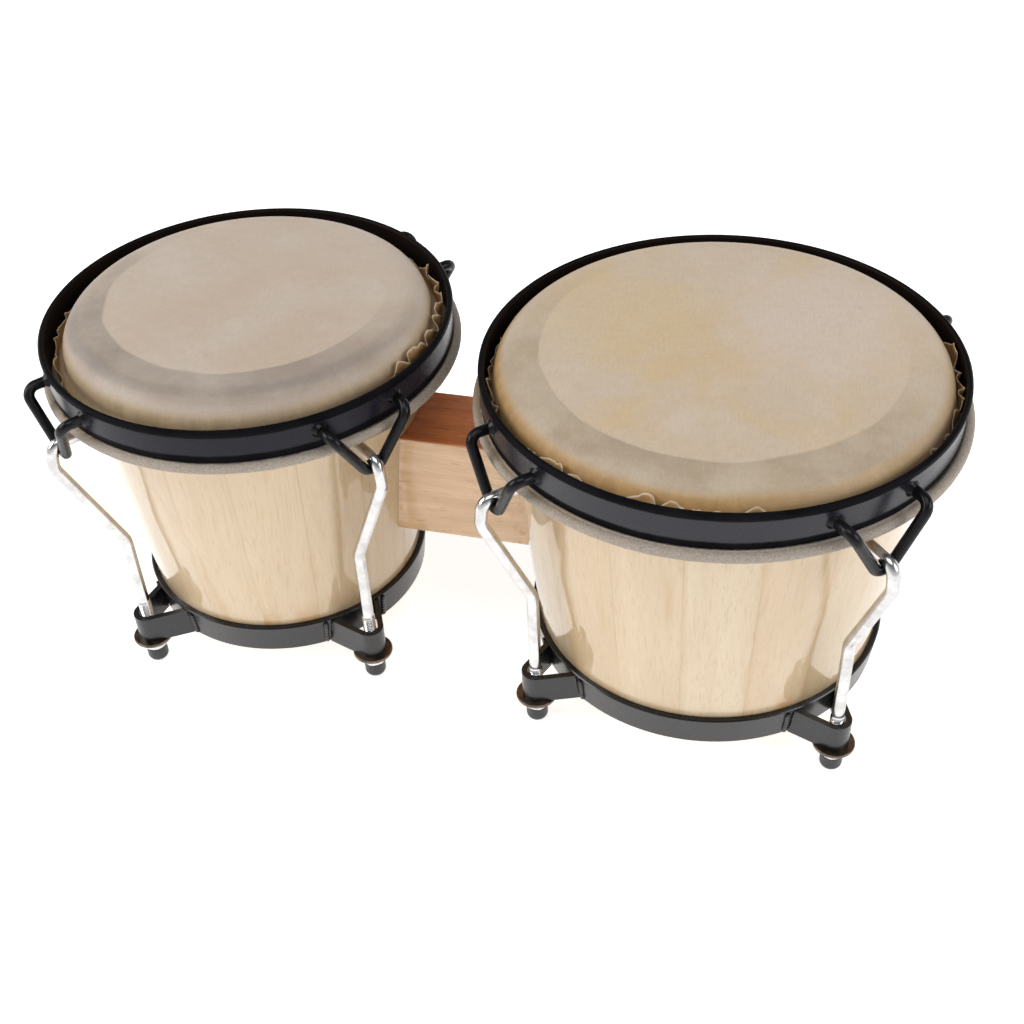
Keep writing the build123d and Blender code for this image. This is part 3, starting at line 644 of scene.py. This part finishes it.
def build_flap(p, nu=2304):
    """The hide's cut edge, turned up between the skirt and the rim, dried into ruffles."""
    d = DRUMS[p]
    s_out = shell_r(d, Z_TOP) + 0.1 + HIDE_T
    r_rim = d["rim"] - RIM_T
    az = np.arange(nu) * TAU / nu
    deg = np.degrees(az)
    seed = 21.0 if p == "small" else 33.0
    arc = az * (s_out + 2)
    if p == "large":
        tall = 0.55 * arc_mask(deg, 200, 214, 9) + 0.95 * arc_mask(deg, 228, 285, 12) + 0.75 * arc_mask(deg, 333, 377, 9) + 0.25 * arc_mask(deg, 20, 200, 12)
    else:
        tall = 0.85 * arc_mask(deg, 342, 397, 9) + 0.42 * arc_mask(deg, 172, 216, 9) + 0.2 * arc_mask(deg, 50, 160, 12)
    lump = ring_noise(az, 9.0, seed, 2)
    fine = ring_noise(az, 46.0, seed + 2, 2)
    h = 149.6 + 1.6 * lump + tall * (8.4 + 2.8 * lump + 0.7 * fine)
    # phase that runs on unevenly, so that the ruffles differ in length
    lam = 13.5 if p == "large" else 12.5
    turns = round(TAU * (s_out + 2) / lam)
    ph = az * turns + 3.4 * ring_noise(az, 7.0, seed + 5, 1)
    gap = r_rim - s_out
    rows = 11
    t = np.linspace(0, 1, rows)
    th = 0.17
    verts, edge = [], []
    amp_r = min(1.25, gap * 0.36)
    for i in range(nu):
        amp = 0.35 + 0.9 * max(0.0, tall[i])
        for side in (1, -1):
            seq = range(rows) if side == 1 else range(rows - 1, -1, -1)
            for j in seq:
                tj = t[j]
                z = 146.2 + (h[i] - 146.2) * tj
                lo = crown_out(d, min(z, 163.6)) + 0.45 + th
                lo_side = s_out + 0.45 + th
                hi = r_rim - 0.35 - th
                mid = s_out + gap * 0.52
                wv = math.sin(ph[i])
                r = mid + amp_r * amp * (tj ** 1.3) * wv
                # the top leans in over the crown where it stands tall
                lean = max(0.0, z - 155.5) * 0.42 * (0.35 + 0.65 * (0.5 - 0.5 * wv)) * min(1.0, tall[i])
                r -= lean
                if z > 157.2:
                    hi += 0.0
                r = min(max(r, lo if z > 154 else lo_side), hi)
                da = 1.25 * amp * tj ** 1.6 * math.cos(ph[i] + 0.5) / s_out * min(1.0, tall[i])
                rr = r + side * th * (1.0 if j < rows - 1 else 0.35)
                zz = z + (0.0 if j < rows - 1 else 0.12)
                verts.append((d["x"] + rr * math.cos(az[i] + da), rr * math.sin(az[i] + da), zz))
                edge.append(tj)
    nv = rows * 2
    faces = grid_faces(nu, nv, True, True)
    ob = make(f"{p}_hide_cut_edge", verts, faces, M_FLAP[p])
    a = ob.data.attributes.new("edge", "FLOAT", "POINT")
    a.data.foreach_set("value", np.array(edge, np.float32))
    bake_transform(ob)
    return ob


def fillet_path(pts, radii, step=1.0):
    """Points along a polyline in space whose corners are rounded (mm)."""
    pts = [np.array(q, float) for q in pts]
    out = [pts[0]]
    for i in range(1, len(pts) - 1):
        a, b, c = pts[i - 1], pts[i], pts[i + 1]
        u, w = (a - b) / np.linalg.norm(a - b), (c - b) / np.linalg.norm(c - b)
        ang = math.acos(max(-1, min(1, float(u @ w))))
        r = radii[i - 1]
        tl = r / math.tan(ang / 2)
        p0, p1 = b + u * tl, b + w * tl
        bis = (u + w) / np.linalg.norm(u + w)
        cen = b + bis * (r / math.sin(ang / 2))
        e1, e2 = (p0 - cen) / r, -u
        da = math.pi - ang
        n = max(6, int(da * r / 0.45))
        out += [cen + r * (math.cos(da * k / n) * e1 + math.sin(da * k / n) * e2) for k in range(n + 1)]
    out.append(pts[-1])
    full = [out[0]]
    for q in out[1:]:
        prev = full[-1]
        length = float(np.linalg.norm(q - prev))
        if length < 1e-6:
            continue
        n = max(1, int(length / step))
        full += [prev + (q - prev) * k / n for k in range(1, n + 1)]
    return np.array(full)


def sweep(path, rad, nseg):
    """Rings of nseg points along a path, turned so that the first points lie on one side."""
    n = len(path)
    tan = np.zeros_like(path)
    tan[1:-1] = path[2:] - path[:-2]
    tan[0], tan[-1] = path[1] - path[0], path[-1] - path[-2]
    tan /= np.linalg.norm(tan, axis=1)[:, None]
    yy = np.array([0.0, 1.0, 0.0])
    bi = yy - tan * tan[:, 1:2]
    bi /= np.linalg.norm(bi, axis=1)[:, None]
    nrm = np.cross(tan, bi)
    rad = np.broadcast_to(np.asarray(rad, float), (n,))
    th = np.arange(nseg) * TAU / nseg
    return np.concatenate([path[i] + rad[i] * (np.cos(th)[:, None] * nrm[i] + np.sin(th)[:, None] * bi[i]) for i in range(n)])


def build_rod(p, k):
    """Tension rod: hook with a rounded tip, two set bends, and a rolled thread cut as a real helix."""
    d = DRUMS[p]
    c = 5.15
    hook_r, top = d["vee"] + c, VEE_Z + c + 0.1
    lean = math.radians(d["lug_az"][k] - d["az"] - 90 * k)
    fx, fy = d["rod"] * math.cos(lean), d["rod"] * math.sin(lean)
    pts = [(d["vee"] - 11.5, 0, top), (hook_r + 0.1, 0, top), (hook_r + 1.5, 0, B1_Z), (fx, fy, B2_Z), (fx, fy, d["thread"] + 1.5)]
    path = fillet_path(pts, [5.1, 9.0, 12.0], 1.2)
    nseg = 32
    rad = np.full(len(path), ROD_R)
    # rounded tip: extra rings drawn in over the last half millimetre
    tip = [(0.0, 1.55), (0.12, 2.05), (0.38, 2.45), (0.8, ROD_R)]
    t0 = np.array([path[0] + np.array([e, 0.0, 0.0]) for e, _ in tip])
    path = np.concatenate([t0, path[1:]])
    rad = np.concatenate([[r for _, r in tip], rad[1:]])
    verts = sweep(path, rad, nseg)
    rings = len(path)
    # thread
    pitch, depth = 1.0, 0.58
    zt, z1 = d["thread"], ROD_END
    per = 9
    count = int((zt - z1) / pitch * per)
    th = np.arange(nseg) * TAU / nseg
    more = []
    for i in range(count + 1):
        z = zt - (zt - z1) * i / count
        ph = (z / pitch - th / TAU) % 1.0
        tri = 1 - np.abs(2 * ph - 1)
        prof = np.clip((tri - 0.10) / 0.72, 0, 1)
        fade = min(1.0, (zt - z) / 1.6 + 0.05, (z - z1) / 0.8 + 0.05)
        r = (THREAD_R - 0.02) - depth * (1 - prof) * fade
        r = r if z > z1 + 0.7 else r - 0.35 * (1 - (z - z1) / 0.7)
        if i == 0:
            r = np.full(nseg, ROD_R + 0.04)
        nx = 1.0   # path runs down (-z): normal is +x
        more.append(np.stack([fx + nx * np.cos(th) * r, fy + np.sin(th) * r, np.full(nseg, z)], 1))
    verts = np.concatenate([verts] + more)
    rings += len(more)
    faces = []
    for i in range(rings - 1):
        for j in range(nseg):
            j2 = (j + 1) % nseg
            faces.append((i * nseg + j, i * nseg + j2, (i + 1) * nseg + j2, (i + 1) * nseg + j))
    faces.append(tuple(range(nseg)))
    last = (rings - 1) * nseg
    faces.append(tuple(last + j for j in reversed(range(nseg))))
    a = math.radians(d["az"] + 90 * k)
    x, y = verts[:, 0].copy(), verts[:, 1].copy()
    verts[:, 0] = d["x"] + x * math.cos(a) - y * math.sin(a)
    verts[:, 1] = x * math.sin(a) + y * math.cos(a)
    ob = make(f"{p}_tension_rod_{CORNERS[k]}", verts, faces, M_CHROME)
    fix_normals(ob)
    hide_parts(f"{p}_rod_{CORNERS[k]}")
    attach(ob, f"{p}_tuning")
    return ob


def fix_normals(ob, sharp=None):
    import bmesh
    bm = bmesh.new()
    bm.from_mesh(ob.data)
    bmesh.ops.recalc_face_normals(bm, faces=bm.faces)
    bm.to_mesh(ob.data)
    bm.free()
    if sharp is not None:
        ob.data.set_sharp_from_angle(angle=math.radians(sharp))
    ob.data.update()


def local(d, k):
    a = math.radians(d["az"] + 90 * k)
    return np.array([[math.cos(a), -math.sin(a), 0], [math.sin(a), math.cos(a), 0], [0, 0, 1]])


def lug_frame(d, k):
    a = math.radians(d["lug_az"][k])
    return np.array([[math.cos(a), -math.sin(a), 0], [math.sin(a), math.cos(a), 0], [0, 0, 1]])


def build_loop_welds(p):
    """Weld fillets where each loop's two ends meet the rim."""
    d = DRUMS[p]
    ro = d["rim"] - BEAD_OUT
    verts, faces = [], []
    nr, na = 7, 28
    for k in range(4):
        A = local(d, k)
        for s in (-1, 1):
            base = len(verts)
            sd = 5.0 + k * 3.1 + s
            for i in range(nr):
                t = i / (nr - 1)
                for j in range(na):
                    a = TAU * j / na
                    w = 4.05 + 0.42 * n3(1.3 * math.cos(a), 1.3 * math.sin(a), sd) + 0.16 * n3(4 * math.cos(a), 4 * math.sin(a), sd + 3)
                    w = min(w, 4.35)
                    rho = w + (WIRE_R - 0.06 - w) * t
                    y = s * LOOP_HALF + rho * math.cos(a)
                    z = LOOP_Z + rho * math.sin(a) * 0.88
                    hgt = -0.25 + (2.15 + 0.3 * n3(math.cos(a), math.sin(a), sd + 9)) * t ** 1.35 * (1.25 - 0.25 * t)
                    hgt += 0.10 * math.sin(6 * a + sd) * math.sin(math.pi * t)
                    x = math.sqrt(ro * ro - y * y) + hgt
                    verts.append(A @ np.array([x, y, z]) + np.array([d["x"], 0, 0]))
            for i in range(nr - 1):
                for j in range(na):
                    j2 = (j + 1) % na
                    faces.append((base + i * na + j, base + i * na + j2, base + (i + 1) * na + j2, base + (i + 1) * na + j))
            # close it inside the rim and inside the wire
            faces.append(tuple(base + j for j in reversed(range(na))))
            faces.append(tuple(base + (nr - 1) * na + j for j in range(na)))
    ob = make(f"{p}_loop_welds", verts, faces, M_BLACK)
    fix_normals(ob)
    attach(ob, f"{p}_tuning")
    return ob


def build_lug_welds(p):
    """Rippled weld beads down both legs of each lug, where it meets the ring."""
    d = DRUMS[p]
    verts, faces = [], []
    na, nz = 12, 43
    for k in range(4):
        A = lug_frame(d, k)
        for s in (-1, 1):
            for half, rad in ((LUG_HALF + LUG_T + 0.35, 1.25), (LUG_HALF - 0.15, 1.05)):
                base = len(verts)
                sd = 40 + k * 5.1 + s * 1.7 + half
                z0, z1 = LUG_Z0 + 0.5, LUG_Z0 + LUG_H - 0.45
                for i in range(nz):
                    t = i / (nz - 1)
                    z = z0 + (z1 - z0) * t
                    end = math.sqrt(max(0.0, 1 - abs(2 * t - 1) ** 9))
                    r = rad * (0.86 + 0.16 * abs(math.sin(math.pi * 7.0 * t + sd)) + 0.16 * n3(t * 3, sd)) * (0.25 + 0.75 * end)
                    y0 = s * (half + 0.18 * n3(t * 4, sd + 2))
                    ring = shell_r(d, z) + 0.05 + RING_T
                    x0 = math.sqrt(ring * ring - y0 * y0) + 0.15
                    for j in range(na):
                        a = TAU * j / na
                        verts.append(A @ np.array([x0 + r * math.cos(a), y0 + r * math.sin(a), z + 0.35 * r * math.cos(a)]) + np.array([d["x"], 0, 0]))
                for i in range(nz - 1):
                    for j in range(na):
                        j2 = (j + 1) % na
                        faces.append((base + i * na + j, base + i * na + j2, base + (i + 1) * na + j2, base + (i + 1) * na + j))
                faces.append(tuple(base + j for j in reversed(range(na))))
                faces.append(tuple(base + (nz - 1) * na + j for j in range(na)))
    ob = make(f"{p}_lug_welds", verts, faces, M_RING)
    fix_normals(ob)
    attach(ob, "root")
    return ob


for p in DRUMS:
    build_hide(p)
    build_flap(p)
    for k in range(4):
        build_rod(p, k)
    build_loop_welds(p)
    build_lug_welds(p)

# ------------------------------------------------------------------ studio
cam_d = bpy.data.cameras.new("camera")
cam = bpy.data.objects.new("camera", cam_d)
bpy.context.scene.collection.objects.link(cam)
C = Vector((143.98, -474.15, 485.61)) / 1000
yaw, pitch, roll = (math.radians(a) for a in (-16.14, -40.59, -2.99))
fwd = Vector((math.sin(yaw) * math.cos(pitch), math.cos(yaw) * math.cos(pitch), math.sin(pitch)))
right = Vector((math.cos(yaw), -math.sin(yaw), 0))
up = right.cross(fwd)
cr, sr = math.cos(roll), math.sin(roll)
r2, u2 = cr * right + sr * up, -sr * right + cr * up
cam.matrix_world = Matrix(((r2.x, u2.x, -fwd.x, C.x), (r2.y, u2.y, -fwd.y, C.y), (r2.z, u2.z, -fwd.z, C.z), (0, 0, 0, 1)))
cam_d.sensor_width = 36.0
cam_d.lens = 1421.1 / 1024 * 36
cam_d.clip_start, cam_d.clip_end = 0.01, 50
bpy.context.scene.camera = cam


def build_floor():
    n, R = 72, 4.0
    verts = [(0, 0, -0.15)]
    faces = []
    rings = [0.3, 0.8, 1.6, R]
    for r in rings:
        verts += [(1000 * r * math.cos(TAU * i / n), 1000 * r * math.sin(TAU * i / n), -0.15) for i in range(n)]
    for i in range(n):
        faces.append((0, 1 + i, 1 + (i + 1) % n))
        for j in range(len(rings) - 1):
            a, b = 1 + j * n, 1 + (j + 1) * n
            faces.append((a + i, b + i, b + (i + 1) % n, a + (i + 1) % n))
    me = bpy.data.meshes.new("studio_floor")
    me.from_pydata([tuple(c / 1000 for c in v) for v in verts], [], faces)
    o = bpy.data.objects.new("studio_floor", me)
    bpy.context.scene.collection.objects.link(o)
    m = Mat("pale_floor")
    w = m.noise(m.obj, 8, 2, 0.5)
    m.set(Base_Color=m.mix(w, (0.80, 0.80, 0.80), (0.84, 0.84, 0.84)), Roughness=0.9, Specular_IOR_Level=0.1)
    m.b.inputs["Emission Color"].default_value = (1, 1, 1, 1)
    m.b.inputs["Emission Strength"].default_value = FLOOR_GLOW
    me.materials.append(m.m)


FLOOR_GLOW = 0.76
build_floor()


def area(name, loc, target, size, size_y, power, colour=(1, 1, 1)):
    l = bpy.data.lights.new(name, "AREA")
    l.shape, l.size, l.size_y, l.energy, l.color = "RECTANGLE", size, size_y, power, colour
    o = bpy.data.objects.new(name, l)
    bpy.context.scene.collection.objects.link(o)
    o.location = loc
    o.rotation_euler = (Vector(target) - Vector(loc)).to_track_quat("-Z", "Y").to_euler()
    return o


area("softbox_left", (-1.15, -0.35, 0.95), (0, 0, 0.08), 0.9, 0.7, 11.5, (1.0, 0.99, 0.98))
area("softbox_right", (1.25, -0.30, 0.85), (0, 0, 0.08), 0.7, 0.7, 7.0, (0.98, 0.99, 1.0))
area("softbox_top", (0.05, -0.45, 1.7), (0, 0, 0.1), 1.1, 0.8, 8.6)

world = bpy.data.worlds.new("studio")
bpy.context.scene.world = world
world.use_nodes = True
wn = world.node_tree
wn.nodes.clear()
wo = wn.nodes.new("ShaderNodeOutputWorld")
bg = wn.nodes.new("ShaderNodeBackground")
wn.links.new(bg.outputs[0], wo.inputs[0])
tc = wn.nodes.new("ShaderNodeTexCoord")
sx = wn.nodes.new("ShaderNodeSeparateXYZ")
wn.links.new(tc.outputs["Generated"], sx.inputs[0])
mr = wn.nodes.new("ShaderNodeMapRange")
mr.interpolation_type = "SMOOTHSTEP"
wn.links.new(sx.outputs[2], mr.inputs["Value"])
mr.inputs["From Min"].default_value = 0.15
mr.inputs["From Max"].default_value = 0.62
mr.inputs["To Min"].default_value = 0.86
mr.inputs["To Max"].default_value = 0.20
wn.links.new(mr.outputs[0], bg.inputs["Strength"])
bg.inputs["Color"].default_value = (1, 1, 1, 1)

bpy.context.scene.view_settings.view_transform = "Standard"
bpy.context.scene.view_settings.look = "None"
